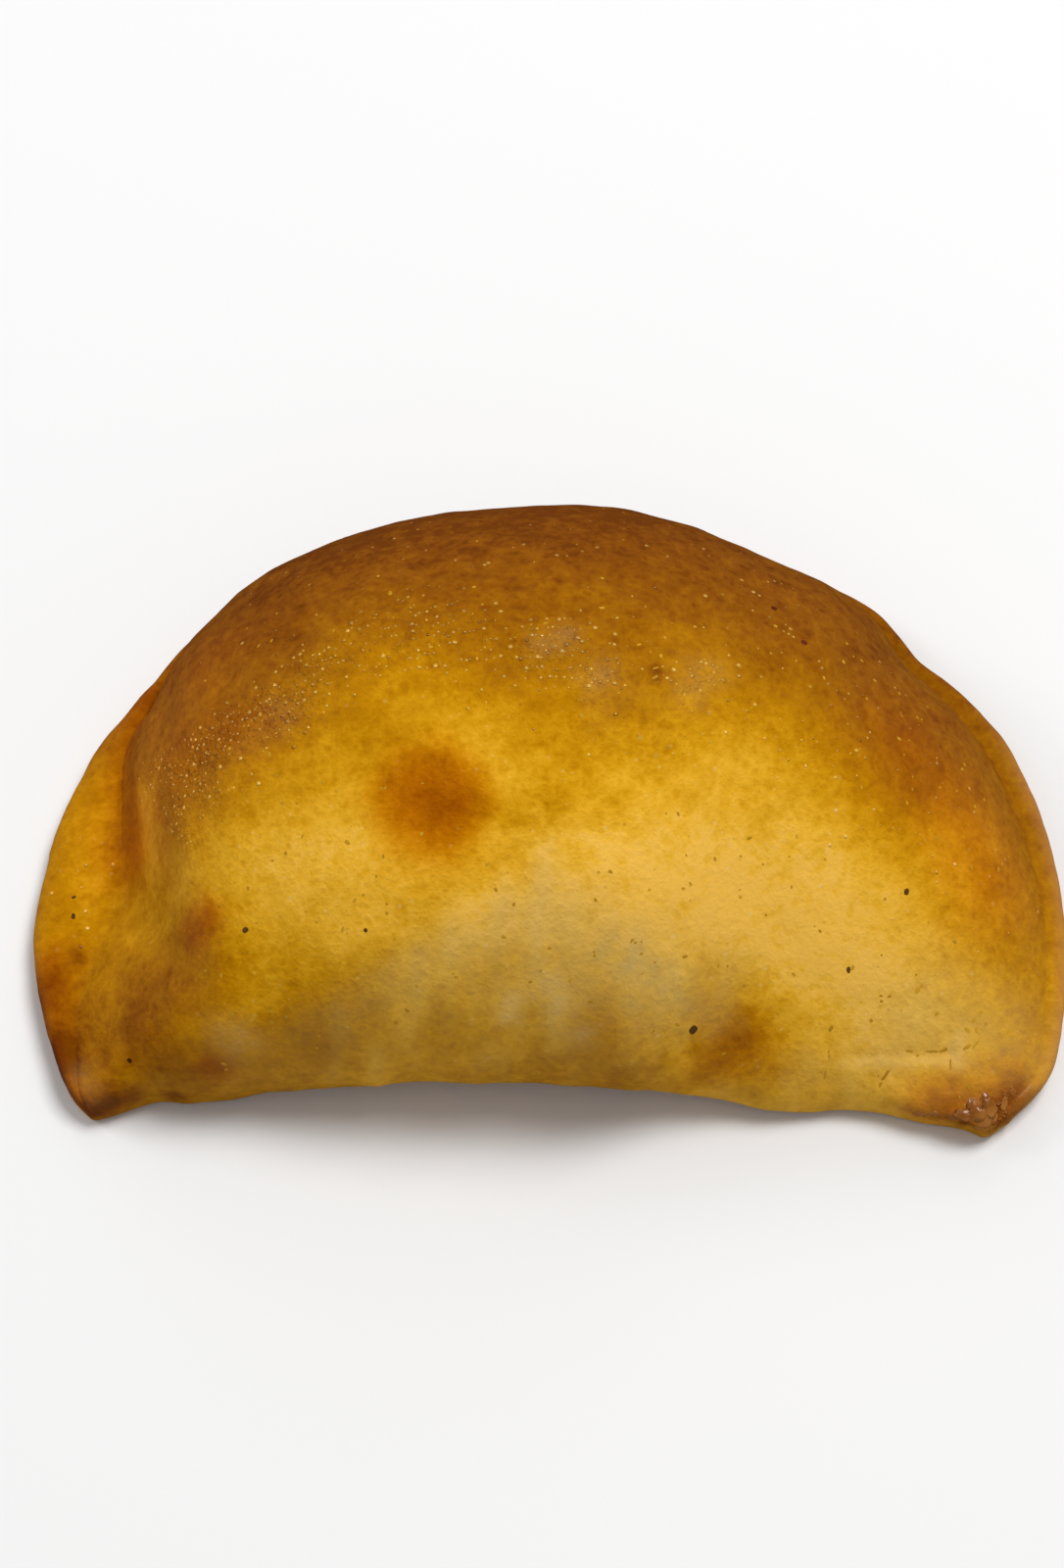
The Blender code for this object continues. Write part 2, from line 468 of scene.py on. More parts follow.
@dataclass(frozen=True)
class CrustFinish:
    """Egg-washed wheat dough, from pale to dark brown with how far it is baked."""

    stops: tuple[tuple[float, Colour], ...] = (
        (0.00, (0.890, 0.500, 0.072, 1.0)),
        (0.10, (0.830, 0.447, 0.036, 1.0)),
        (0.20, (0.750, 0.384, 0.018, 1.0)),
        (0.35, (0.615, 0.288, 0.005, 1.0)),
        (0.50, (0.480, 0.200, 0.001, 1.0)),
        (0.65, (0.375, 0.140, 0.001, 1.0)),
        (0.80, (0.277, 0.087, 0.001, 1.0)),
        (0.90, (0.223, 0.061, 0.001, 1.0)),
        (1.00, (0.160, 0.038, 0.001, 1.0)),
    )
    warm: Colour = (1.0, 0.64, 0.30, 1.0)
    # Colour of the painted shade on the lower front.
    front_shade: Colour = (0.550, 0.385, 0.130, 1.0)
    blush: Colour = (0.520, 0.235, 0.070, 1.0)
    # Pale colour for flour, and for the painted highlight on the crown.
    flour_and_sheen: Colour = (0.820, 0.560, 0.190, 1.0)
    caramel: Colour = (0.250, 0.066, 0.004, 1.0)
    bran: Colour = (0.330, 0.160, 0.008, 1.0)
    name: str = "baked_crust"
    cloud_length: float = 0.0075
    mottle_length: float = 0.0024
    grain_length: float = 0.0009
    crinkle_length: float = 0.0017
    bubble_length: float = 0.0011
    bubble_height: float = 0.00014
    roughness: float = 0.50
    coat: float = 0.04
    coat_roughness: float = 0.25
    shine: float = 0.12
    shine_tint: Colour = (1.0, 0.72, 0.0, 1.0)

    def material(self) -> bpy.types.Material:
        """Make the crust's material.

        Returns:
            The finished material.
        """
        sheet = NodeSheet(self.name)
        bake = sheet.attribute(Field.BAKE.value)
        blister = sheet.attribute(Field.BLISTER.value)
        caramel = sheet.attribute(Field.CARAMEL.value)
        cloud = sheet.noise(self.cloud_length, 3.0, 0.55)
        mottle = sheet.noise(self.mottle_length, 4.0, 0.65)
        grain = sheet.noise(self.grain_length, 3.0, 0.7)
        crinkle = abs(sheet.noise(self.crinkle_length, 2.0, 0.5)) - 0.08
        uneven = bake + 0.22 * cloud + 0.44 * mottle + 0.12 * grain + 0.45 * crinkle
        colour = sheet.ramp(uneven.clamped(), self.stops)
        warm = sheet.attribute(Field.WARM.value).clamped()
        colour = sheet.mixed(warm, colour, self.warm, "MULTIPLY")
        # Painted shade: the lower front is mixed towards a greyer, darker colour.
        front_shade = sheet.attribute(Field.FRONT_SHADE.value) * (1.0 + 1.6 * mottle) * (1.15 - bake)
        colour = sheet.mixed(front_shade.clamped(), colour, self.front_shade)
        # Flour streaks, with painted highlight over the crown's glints.
        flour_and_sheen = (sheet.attribute(Field.FLOUR_AND_SHEEN.value) * (1.0 + 2.0 * mottle + 2.0 * grain)).clamped()
        colour = sheet.mixed(flour_and_sheen, colour, self.flour_and_sheen)
        meal = 0.50 * sheet.flecks(0.0022, 0.00042, 0.50) + 0.40 * sheet.flecks(0.0013, 0.00026, 0.40)
        colour = sheet.mixed((meal * (0.9 - 1.3 * bake)).clamped(), colour, self.flour_and_sheen)
        blush = sheet.attribute(Field.BLUSH.value).clamped()
        colour = sheet.mixed(blush, colour, self.blush)
        colour = sheet.mixed((caramel * (1.0 + 2.0 * mottle)).clamped(), colour, self.caramel)
        bran = 0.60 * sheet.flecks(0.0030, 0.00034, 0.40) + 0.40 * sheet.flecks(0.0014, 0.00020, 0.40)
        colour = sheet.mixed((bran * (1.0 - 0.6 * bake)).clamped(), colour, self.bran)
        bubbles = sheet.bubbles(self.bubble_length) + 0.8 * sheet.bubbles(0.45 * self.bubble_length)
        pores = sheet.noise(0.6 * self.bubble_length, 3.0, 0.6)
        height = bubbles * (0.25 + 0.75 * blister) + 0.4 * pores - 1.5 * crinkle
        roughness = self.roughness - 0.10 * blister - 0.25 * caramel + 0.10 * mottle
        return sheet.dress(
            {
                "Base Color": colour,
                "Roughness": roughness.clamped(),
                "Coat Weight": (self.coat * blister + 0.8 * caramel).clamped(),
                "Coat Roughness": self.coat_roughness,
                "Specular IOR Level": self.shine,
                "Specular Tint": self.shine_tint,
                "Normal": sheet.bumped(height, self.bubble_height),
            }
        )


@dataclass(frozen=True)
class FleckFinish:
    """The finish of small flecks: one colour that varies a little from fleck to fleck."""

    name: str
    light: Colour
    dark: Colour
    roughness: float
    coat: float = 0.0
    shine: float = 0.05

    def material(self) -> bpy.types.Material:
        """Make the flecks' material.

        Returns:
            The finished material.
        """
        sheet = NodeSheet(self.name)
        patch = sheet.noise(0.0060, 1.0).stepped(-0.15, 0.15)
        grain = sheet.noise(0.0002, 2.0)
        colour = sheet.mixed((patch + 0.6 * grain).clamped(), self.dark, self.light)
        return sheet.dress(
            {
                "Base Color": colour,
                "Roughness": (self.roughness + 0.2 * grain).clamped(),
                "Coat Weight": self.coat,
                "Specular IOR Level": self.shine,
                "Normal": sheet.bumped(grain, 0.00004),
            }
        )


@dataclass
class RimOutline:
    """How far the pressed rim reaches from the middle of the dough disc, by bearing in degrees."""

    points: np.ndarray
    centre_y: float
    step: int = 2

    def __post_init__(self) -> None:
        """Measure the reach at evenly spaced bearings."""
        bearings, radii = self.polar(self.points)
        self.marks = np.arange(-90, 270 + self.step, self.step, dtype=float)
        self.reaches = np.array(
            [radii[np.abs(bearings - mark) <= self.step].max(initial=0.0) for mark in self.marks]
        )

    def polar(self, points: np.ndarray) -> tuple[np.ndarray, np.ndarray]:
        """Return the bearing and the distance of each point from the disc's middle.

        Args:
            points: Places in metres, one row each.

        Returns:
            Bearings from -90 to 270 degrees, with the back at 90, and distances in metres.
        """
        across = points[:, 0]
        back = points[:, 1] - self.centre_y
        bearings = np.degrees(np.arctan2(back, across))
        bearings = np.where(bearings < -90.0, bearings + 360.0, bearings)
        return bearings, np.hypot(across, back)

    def gap(self, points: np.ndarray) -> np.ndarray:
        """Return how far inside the edge of the rim each point is, seen from above."""
        bearings, radii = self.polar(points)
        return np.interp(bearings, self.marks, self.reaches) - radii


@dataclass(frozen=True)
class OvenMark:
    """How brown the crust is along one bearing from the middle of the dough disc.

    It has one shade at the rim and another towards the crown.  It stays rim-brown up to one distance
    from the edge, and has reached the crown's shade at another.
    """

    bearing: float
    rim: float
    held_to: float
    faded_by: float
    crown: float


OVEN_MARKS = (
    OvenMark(-90.0, 0.44, 0.000, 0.012, 0.02),
    OvenMark(-70.0, 0.46, 0.000, 0.018, 0.00),
    OvenMark(-50.0, 0.12, 0.002, 0.024, 0.02),
    OvenMark(-30.0, 0.24, 0.000, 0.022, 0.04),
    OvenMark(-15.0, 0.38, 0.000, 0.028, -0.02),
    OvenMark(0.0, 0.58, 0.002, 0.036, 0.00),
    OvenMark(15.0, 0.74, 0.014, 0.041, 0.12),
    OvenMark(30.0, 0.80, 0.014, 0.047, 0.18),
    OvenMark(45.0, 0.86, 0.014, 0.056, 0.21),
    OvenMark(60.0, 0.91, 0.010, 0.066, 0.24),
    OvenMark(80.0, 0.97, 0.008, 0.068, 0.25),
    OvenMark(105.0, 1.00, 0.008, 0.068, 0.25),
    OvenMark(120.0, 0.98, 0.008, 0.058, 0.28),
    OvenMark(135.0, 0.92, 0.012, 0.052, 0.24),
    OvenMark(150.0, 0.74, 0.024, 0.055, 0.29),
    OvenMark(165.0, 0.56, 0.014, 0.043, 0.36),
    OvenMark(180.0, 0.52, 0.010, 0.036, 0.12),
    OvenMark(195.0, 0.66, 0.004, 0.036, 0.12),
    OvenMark(210.0, 0.54, 0.004, 0.030, 0.16),
    OvenMark(225.0, 0.35, 0.000, 0.018, 0.04),
    OvenMark(255.0, 0.38, 0.000, 0.012, 0.02),
    OvenMark(270.0, 0.44, 0.000, 0.012, 0.02),
)


CREASES = (
    # Low ridges and dents over the crown.
    Crease(-0.00034, 0.0026, (mm(-1.5, 7.4, 37.4), mm(2.0, 8.6, 37.2))),
    Crease(-0.00030, 0.0024, (mm(4.2, 2.0, 37.6), mm(6.4, 4.0, 37.6))),
    Crease(-0.00030, 0.0024, (mm(16.4, 2.0, 35.0), mm(19.0, 5.4, 34.2))),
    Crease(-0.00026, 0.0026, (mm(-14.0, 8.0, 37.0), mm(-12.6, 13.0, 35.8))),
    Crease(0.00030, 0.0024, (mm(-5.0, 5.0, 37.6), mm(-1.0, 2.4, 37.8))),
    Crease(0.00026, 0.0024, (mm(8.6, 8.0, 36.6), mm(12.0, 5.6, 36.2))),
    # Dents down the left shoulder.
    Crease(0.00030, 0.0030, (mm(-40.0, 4.0, 28.0), mm(-44.0, -4.0, 25.0))),
    Crease(-0.00026, 0.0026, (mm(-45.2, -10.8, 22.3), mm(-47.0, -4.0, 21.0))),
    # Step in the lower edge of the folded front.
    Crease(-0.00040, 0.0018, (mm(-21.0, -38.1, 8.1),)),
    Crease(0.00050, 0.0016, (mm(-16.4, -37.8, 9.6),)),
    Crease(-0.00035, 0.0018, (mm(-11.0, -38.4, 10.0),)),
    # Scored lines near the right tip.
    Crease(0.00024, 0.00080, (mm(36.6, -34.2, 8.6), mm(49.8, -33.8, 8.2))),
    Crease(0.00026, 0.00080, (mm(34.7, -33.7, 9.7), mm(33.9, -36.7, 6.4))),
    Crease(0.00026, 0.00080, (mm(42.1, -35.6, 7.1), mm(41.2, -36.7, 6.1))),
    Crease(0.00028, 0.00080, (mm(49.3, -31.7, 9.3), mm(49.3, -38.0, 6.2))),
    # The crease behind the left flap is shallow.
    Crease(-0.00080, 0.0022, (mm(-52.6, 15.2, 5.2), mm(-54.5, 5.0, 5.6), mm(-54.0, -7.1, 5.2))),
)

NUDGES = (
    # The right tip is blunt, and the rim beside it is full.
    Nudge(mm(51.5, -42.5, 1.5), 0.0045, mm(0.8, 1.7, 0.0)),
    Nudge(mm(60.5, -33.5, 3.5), 0.0042, mm(0.6, -0.8, 0.0)),
    # The right shoulder and the notch behind it.
    Nudge(mm(58.0, 10.0, 4.5), 0.0090, mm(0.7, 0.7, 0.0)),
    Nudge(mm(41.0, 27.0, 5.0), 0.0060, mm(0.4, 0.9, 0.0)),
)

STROKES = (
    # The round scorched spot on the crown.
    Stroke(Field.BAKE, 0.30, 0.0070, (mm(-14.3, -13.5, 36.8),), 4.0, 0.14),
    Stroke(Field.WARM, 0.85, 0.0072, (mm(-14.3, -13.5, 36.8),), 4.0, 0.14),
    Stroke(Field.BAKE, 0.12, 0.0032, (mm(-12.6, -15.5, 36.4),), 2.0, 0.50),
    # The crease behind the left flap.
    Stroke(
        Field.BAKE,
        0.10,
        0.0026,
        (mm(-51.0, 15.2, 6.0), mm(-52.8, 6.0, 7.0), mm(-53.2, -0.1, 8.0), mm(-52.2, -7.1, 8.0)),
    ),
    Stroke(Field.WARM, 0.55, 0.0040, (mm(-52.6, 15.2, 4.7), mm(-54.5, 4.0, 6.0), mm(-54.0, -8.0, 4.8))),
    Stroke(Field.BAKE, 0.08, 0.0020, (mm(-54.2, -5.0, 5.6),)),
    Stroke(Field.WARM, 0.45, 0.0034, (mm(-52.4, -2.0, 9.0), mm(-52.0, -9.0, 9.0))),
    # A paler middle of the left flap.
    Stroke(Field.BAKE, -0.13, 0.0030, (mm(-57.4, 3.0, 4.6), mm(-58.4, -6.0, 4.6), mm(-58.4, -12.0, 4.6))),
    Stroke(Field.WARM, 0.55, 0.0090, (mm(-44.0, 8.0, 22.0), mm(-49.0, -6.0, 16.0), mm(-48.0, 14.0, 12.0))),
    # Browner arcs where the crust is blistered, and a faint tone across the crown.
    Stroke(Field.BAKE, 0.10, 0.0060, (mm(-46.0, -6.0, 22.5), mm(-42.0, -3.0, 27.0), mm(-36.8, -1.0, 31.0)), 3.0, 0.5),
    Stroke(Field.BAKE, 0.06, 0.0065, (mm(-6.0, 4.0, 37.4), mm(0.0, 3.4, 37.7), mm(10.0, 3.0, 36.4)), 3.0, 0.5),
    Stroke(Field.BAKE, 0.06, 0.0060, (mm(-13.0, 2.0, 37.8),)),
    Stroke(Field.BAKE, 0.08, 0.0040, (mm(-7.0, -38.0, 11.0), mm(0.0, -38.1, 11.4))),
    Stroke(Field.BAKE, 0.10, 0.0070, (mm(-13.0, -21.5, 35.0), mm(4.3, -15.6, 35.9))),
    Stroke(Field.BAKE, 0.07, 0.0060, (mm(-40.0, -29.0, 21.0), mm(-31.0, -29.5, 24.0))),
    Stroke(Field.BAKE, -0.10, 0.0046, (mm(-31.0, 3.0, 33.6), mm(-24.0, 0.0, 36.0)), 2.0, 0.4),
    Stroke(Field.BAKE, -0.06, 0.0055, (mm(-1.0, -5.0, 37.6),), 2.0, 0.4),
    Stroke(Field.BAKE, 0.06, 0.0040, (mm(11.4, -5.6, 36.4),), 2.0, 0.4),
    Stroke(Field.WARM, 0.30, 0.0050, (mm(-42.0, -3.0, 27.0), mm(-36.8, -1.0, 31.0))),
    # A dark scratch on the crown.
    Stroke(Field.BAKE, 0.34, 0.0007, (mm(12.3, 5.2, 36.1), mm(12.3, 3.0, 36.3))),
    # Painted light: a paler stretch that lifts the shade on the left wall, and a paler stretch on the right wing.
    Stroke(Field.BAKE, -0.24, 0.0042, (mm(-51.0, -3.0, 13.5), mm(-50.0, -12.0, 12.5)), 2.0, 0.4),
    Stroke(Field.BAKE, -0.20, 0.0050, (mm(50.0, -8.0, 17.5), mm(54.0, -7.0, 15.0)), 2.0, 0.4),
    # Dark patches on the ridge below the left wall.
    Stroke(Field.BAKE, 0.19, 0.0019, (mm(-43.6, -23.8, 19.8), mm(-41.6, -22.8, 22.4)), 2.0, 0.4),
    Stroke(Field.WARM, 0.80, 0.0026, (mm(-43.6, -23.8, 19.8), mm(-41.6, -22.8, 22.4)), 2.0, 0.4),
    Stroke(Field.BAKE, 0.16, 0.0040, (mm(-45.8, -24.5, 15.5), mm(-49.9, -27.6, 11.7)), 2.0, 0.4),
    Stroke(Field.BAKE, 0.20, 0.0060, (mm(-40.0, -27.4, 21.7), mm(-47.7, -32.4, 13.4)), 2.0, 0.4),
    Stroke(Field.BAKE, 0.16, 0.0040, (mm(-50.0, -33.4, 9.0), mm(-45.9, -35.6, 10.0)), 2.0, 0.4),
    # Scorched dots and edges of the left flap.
    Stroke(Field.BAKE, 0.35, 0.0011, (mm(-59.5, -20.6, 4.6),)),
    Stroke(Field.BAKE, 0.34, 0.0022, (mm(-62.9, -23.7, 4.2), mm(-62.9, -26.5, 3.5)), 2.0, 0.4),
    Stroke(Field.WARM, 0.70, 0.0030, (mm(-62.9, -22.0, 4.2), mm(-62.2, -29.0, 3.5))),
    Stroke(Field.BAKE, 0.36, 0.0018, (mm(-60.4, -34.2, 4.4), mm(-60.9, -32.6, 4.0)), 2.0, 0.4),
    Stroke(Field.WARM, 0.70, 0.0024, (mm(-61.3, -33.4, 4.2), mm(-59.3, -38.3, 3.5), mm(-57.4, -39.8, 3.9))),
    Stroke(Field.BAKE, 0.20, 0.0014, (mm(-61.3, -33.4, 3.8), mm(-59.3, -38.3, 3.0), mm(-56.6, -40.6, 3.0))),
    Stroke(Field.BAKE, 0.24, 0.0036, (mm(-60.0, -31.0, 4.6), mm(-58.6, -35.0, 4.6)), 2.0, 0.4),
    Stroke(Field.BAKE, 0.36, 0.0020, (mm(-56.6, -40.8, 3.4), mm(-55.0, -40.4, 3.6)), 2.0, 0.4),
    Stroke(Field.BAKE, 0.26, 0.0016, (mm(-53.3, -39.6, 4.6), mm(-51.0, -39.8, 4.6)), 2.0, 0.4),
    Stroke(Field.BAKE, 0.26, 0.0018, (mm(-46.4, -38.9, 4.3),)),
    Stroke(Field.BAKE, 0.12, 0.0022, (mm(-40.8, -37.5, 11.5),), 2.0, 0.4),
    Stroke(Field.WARM, 0.70, 0.0022, (mm(-40.8, -37.5, 11.5),), 2.0, 0.4),
    # A warmer tone over the right wing.
    Stroke(Field.WARM, 0.55, 0.0080, (mm(44.0, 2.0, 21.0), mm(51.0, -6.0, 17.0), mm(54.0, -12.0, 14.0))),
    # Amber and golden patches low on the front.
    Stroke(Field.BAKE, 0.12, 0.0060, (mm(17.0, -35.0, 14.0), mm(22.3, -33.0, 15.0), mm(27.0, -33.6, 12.2))),
    Stroke(Field.BAKE, 0.26, 0.0032, (mm(20.6, -36.2, 10.8), mm(22.4, -34.6, 12.8)), 2.0, 0.4),
    Stroke(Field.WARM, 0.40, 0.0044, (mm(20.6, -36.2, 10.8), mm(24.4, -34.2, 12.6)), 2.0, 0.4),
    # Less of the painted front shade under this amber patch.
    Stroke(Field.FRONT_SHADE, -0.34, 0.0050, (mm(19.0, -35.6, 12.0), mm(25.4, -33.7, 12.7)), 2.0, 0.4),
    Stroke(Field.BAKE, 0.19, 0.0044, (mm(19.0, -30.8, 19.0), mm(23.8, -32.6, 14.6)), 2.0, 0.4),
    Stroke(Field.BAKE, 0.15, 0.0040, (mm(10.0, -38.4, 10.0), mm(16.5, -38.1, 7.0), mm(25.0, -37.5, 7.0))),
    Stroke(Field.BAKE, 0.10, 0.0034, (mm(-25.9, -31.2, 24.5), mm(-21.6, -34.3, 22.0)), 2.0, 0.4),
    Stroke(Field.BAKE, 0.14, 0.0034, (mm(-30.9, -29.2, 24.5),), 2.0, 0.4),
    Stroke(Field.BAKE, 0.12, 0.0034, (mm(-27.6, -36.6, 15.4),), 2.0, 0.4),
    Stroke(Field.BAKE, 0.14, 0.0018, (mm(-7.4, -31.9, 26.6), mm(-4.0, -29.0, 29.5)), 2.0, 0.4),
    Stroke(Field.BAKE, 0.08, 0.0070, (mm(12.0, -34.6, 21.0), mm(32.0, -33.0, 12.0))),
    Stroke(Field.BAKE, 0.10, 0.0050, (mm(58.0, -35.0, 6.0), mm(60.0, -31.0, 5.5))),
    Stroke(Field.BAKE, 0.07, 0.0080, (mm(12.0, -5.0, 35.6), mm(26.0, -10.0, 31.0))),
    # Painted shade: a greyer tone over the valley of the front and low on its right end.
    Stroke(Field.FRONT_SHADE, 0.20, 0.0075, (mm(4.3, -33.5, 24.4), mm(10.2, -31.4, 25.4), mm(13.0, -30.0, 24.0))),
    Stroke(Field.FRONT_SHADE, 0.16, 0.0040, (mm(22.2, -28.6, 20.0),)),
    Stroke(Field.FRONT_SHADE, 0.34, 0.0075, (mm(46.0, -30.0, 11.0), mm(54.0, -31.0, 9.0), mm(58.0, -34.0, 6.0))),
    # Caramelised right tip.
    Stroke(Field.CARAMEL, 0.75, 0.0026, (mm(51.0, -41.4, 5.0), mm(52.8, -39.8, 5.6), mm(55.3, -39.4, 5.2)), 2.0, 0.5),
    Stroke(Field.CARAMEL, 0.55, 0.0016, (mm(55.3, -39.2, 5.2), mm(57.2, -38.5, 4.8), mm(58.2, -36.8, 4.6)), 2.0, 0.5),
    Stroke(Field.CARAMEL, 0.45, 0.0022, (mm(53.2, -42.0, 4.0), mm(55.3, -40.8, 3.8)), 2.0, 0.5),
    Stroke(Field.CARAMEL, 0.35, 0.0018, (mm(44.8, -40.0, 3.9), mm(48.6, -40.0, 4.8)), 2.0, 0.5),
    Stroke(Field.WARM, 0.75, 0.0044, (mm(46.9, -39.6, 4.8), mm(52.8, -39.8, 5.6), mm(57.2, -37.9, 4.6)), 2.0, 0.4),
    Stroke(Field.BAKE, 0.24, 0.0040, (mm(48.6, -38.8, 5.9), mm(53.2, -40.2, 5.0), mm(57.2, -37.9, 4.6)), 2.0, 0.4),
    # Painted highlight: a pale whitish haze over the crown's clusters of glinting blisters.
    Stroke(Field.FLOUR_AND_SHEEN, 0.12, 0.0016, (mm(-1.6, 7.4, 37.4), mm(1.4, 8.6, 37.3)), 2.0, 0.5),
    Stroke(Field.FLOUR_AND_SHEEN, 0.08, 0.0018, (mm(4.0, 2.0, 37.6), mm(6.0, 3.8, 37.6)), 2.0, 0.5),
    Stroke(Field.FLOUR_AND_SHEEN, 0.08, 0.0022, (mm(16.8, 2.0, 35.0), mm(18.6, 5.2, 34.3)), 2.0, 0.5),
    # Pale flour streaks and pale score lines.
    Stroke(Field.FLOUR_AND_SHEEN, 0.40, 0.0014, (mm(-5.0, -34.9, 22.0), mm(-4.4, -33.9, 24.4))),
    Stroke(Field.FLOUR_AND_SHEEN, 0.25, 0.0022, (mm(-0.4, -32.3, 26.0), mm(1.6, -33.6, 24.0))),
    Stroke(Field.FLOUR_AND_SHEEN, 0.22, 0.0020, (mm(4.4, -36.2, 20.0),)),
    Stroke(Field.FLOUR_AND_SHEEN, 0.22, 0.0030, (mm(-38.1, -35.9, 15.7),)),
    Stroke(Field.FLOUR_AND_SHEEN, 0.10, 0.0020, (mm(-57.6, -37.0, 4.6), mm(-56.6, -38.6, 4.4))),
    Stroke(Field.FLOUR_AND_SHEEN, 0.30, 0.0009, (mm(36.6, -34.8, 8.0), mm(49.8, -34.4, 7.9))),
    Stroke(Field.FLOUR_AND_SHEEN, 0.30, 0.0012, (mm(50.4, -32.2, 8.9), mm(50.4, -34.6, 7.9))),
    # Bands of tiny blisters that glint.
    Stroke(Field.BLISTER, 0.80, 0.0036, (mm(-46.4, -9.6, 22.3), mm(-44.2, -5.6, 25.6)), 2.0, 0.6),
    Stroke(Field.BLISTER, 0.90, 0.0042, (mm(-42.0, -3.4, 28.0), mm(-37.6, -0.8, 31.2), mm(-33.4, 1.4, 33.0)), 2.0, 0.6),
    Stroke(Field.BLISTER, 0.70, 0.0044, (mm(-32.0, 3.0, 33.6), mm(-25.0, 7.0, 35.4), mm(-17.0, 9.4, 36.4)), 2.0, 0.6),
    Stroke(Field.BLISTER, 0.70, 0.0028, (mm(-50.4, -1.0, 15.6), mm(-46.9, -3.2, 21.4)), 2.0, 0.6),
    Stroke(Field.BLISTER, 0.36, 0.0050, (mm(-14.0, 9.0, 36.9), mm(-1.5, 6.4, 37.6), mm(6.0, 2.8, 37.6)), 2.0, 0.6),
    Stroke(Field.BLISTER, 0.20, 0.0060, (mm(-10.0, 3.0, 37.8), mm(6.0, 6.0, 37.2), mm(18.0, 3.4, 34.8)), 2.0, 0.6),
    Stroke(Field.BLISTER, 1.20, 0.0017, (mm(-1.6, 7.4, 37.4), mm(1.4, 8.6, 37.3))),
    Stroke(Field.BLISTER, 1.00, 0.0016, (mm(4.0, 2.0, 37.6), mm(6.0, 3.8, 37.6))),
    Stroke(Field.BLISTER, 0.80, 0.0016, (mm(16.8, 2.0, 35.0), mm(18.6, 5.2, 34.3))),
    Stroke(Field.BLISTER, 0.14, 0.0120, (mm(26.0, 8.0, 30.0), mm(44.0, 0.0, 22.0), mm(54.0, -10.0, 15.0))),
    Stroke(Field.BLISTER, 0.11, 0.0140, (mm(-30.0, 20.0, 28.0), mm(0.0, 24.0, 31.0), mm(24.0, 20.0, 27.0))),
    Stroke(Field.BLISTER, 0.24, 0.0030, (mm(-59.5, -8.0, 5.0), mm(-58.0, -18.0, 5.0)), 2.0, 0.5),
    Stroke(Field.BLISTER, 0.90, 0.0022, (mm(52.4, -40.6, 5.4), mm(55.6, -39.4, 5.0)), 2.0, 0.5),
)


